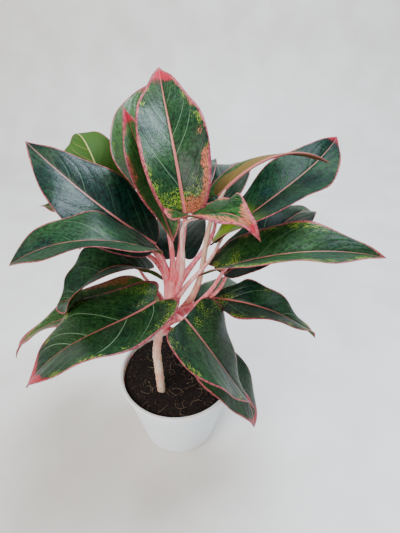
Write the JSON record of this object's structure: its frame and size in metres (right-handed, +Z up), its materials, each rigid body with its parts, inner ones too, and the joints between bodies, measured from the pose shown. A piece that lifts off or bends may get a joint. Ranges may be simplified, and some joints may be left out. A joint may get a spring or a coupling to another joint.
{
  "type": "potted chinese evergreen",
  "caption": "Bushy houseplant with long pointed, folded leaves on slender stalks from one bare cane, standing in soil in a small tapered round pot.",
  "frame": {"origin": "middle of the pot's underside, on the face it rests on", "axes": "+Z up the pot; -Y is the side the plant is seen from, so its low leaves hang forward on -Y, and +X is to its right"},
  "size_m": [0.3454, 0.2408, 0.3813],
  "materials": {
    "pot_white": "smooth semi-gloss moulded white",
    "soil_brown": null,
    "stem_pink": null,
    "leaf_green": null
  },
  "bodies": {
    "root": {"pot": "pot_white", "soil": "soil_brown", "stem": "stem_pink", "leaf_01": "leaf_green", "leaf_02": "leaf_green", "leaf_03": "leaf_green", "leaf_04": "leaf_green", "leaf_05": "leaf_green", "leaf_06": "leaf_green", "leaf_07": "leaf_green", "leaf_08": "leaf_green", "leaf_09": "leaf_green", "leaf_10": "leaf_green", "leaf_11": "leaf_green", "leaf_12": "leaf_green", "leaf_13": "leaf_green", "leaf_14": "leaf_green", "leaf_15": "leaf_green", "leaf_16": "leaf_green", "leaf_17": "leaf_green", "leaf_18": "leaf_green", "leaf_19": "leaf_green", "leaf_20": "leaf_green", "leaf_21": "leaf_green", "leaf_22": "leaf_green", "leaf_23": "leaf_green", "leaf_24": "leaf_green"}
  },
  "joints": []
}
